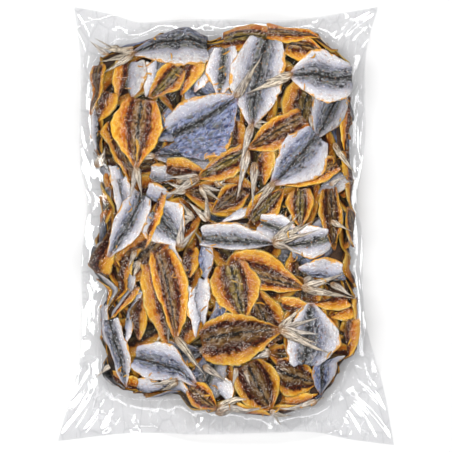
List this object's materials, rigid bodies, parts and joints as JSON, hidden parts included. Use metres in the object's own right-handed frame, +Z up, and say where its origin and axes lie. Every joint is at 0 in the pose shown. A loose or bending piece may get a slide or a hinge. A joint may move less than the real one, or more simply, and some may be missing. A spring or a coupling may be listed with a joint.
{
  "type": "vacuum pouch of dried butterflied scad",
  "caption": "Clear vacuum-sealed pouch packed flat with headless butterflied dried scad, skin and flesh sides mixed, with a creased film margin and pulled-out corners",
  "frame": {"origin": "under the middle of the pouch, on the surface that it lies on", "axes": "+Z up out of the face that shows, +Y along the pouch towards its top edge, +X to the right"},
  "size_m": [0.25, 0.326, 0.0336],
  "materials": {
    "packed_fish": "semi-gloss",
    "flesh_side": "gloss",
    "skin_side": "satin",
    "fins": "satin",
    "film": "gloss"
  },
  "bodies": {
    "root": {"sealed_bag": "packed_fish"}
  },
  "joints": []
}
